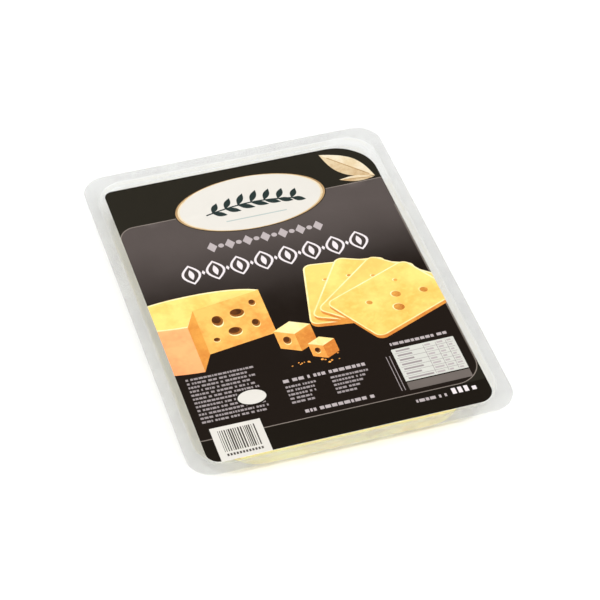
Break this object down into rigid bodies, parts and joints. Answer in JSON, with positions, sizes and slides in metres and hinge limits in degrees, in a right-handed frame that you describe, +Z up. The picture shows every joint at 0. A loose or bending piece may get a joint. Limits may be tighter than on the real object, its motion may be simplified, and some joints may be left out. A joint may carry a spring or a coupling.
{
  "type": "sealed pack of sliced emmental cheese",
  "caption": "Flat clear thermoformed pack with a sealed film lid, a stack of sliced hard cheese inside and a dark printed label on top.",
  "frame": {"origin": "middle of the tray's underside, on the surface that the pack lies on", "axes": "+X across the label, +Y towards the label's top edge, +Z up out of the label"},
  "size_m": [0.15, 0.2, 0.013],
  "materials": {
    "clear_tray": "clear rigid plastic sheet, glossy, with a faint grey at its edges",
    "cheese": "pale yellow sliced cheese with round eyes, moist and slightly glossy",
    "clear_film": "thin clear lidding film, glossy, faintly hazy where it is sealed",
    "printed_label": "satin printed label, near black with warm cheese-coloured fields and white marks"
  },
  "bodies": {
    "root": {"tray": "clear_tray", "cheese_slices": "cheese", "top_film": "clear_film", "label": "printed_label"}
  },
  "joints": []
}
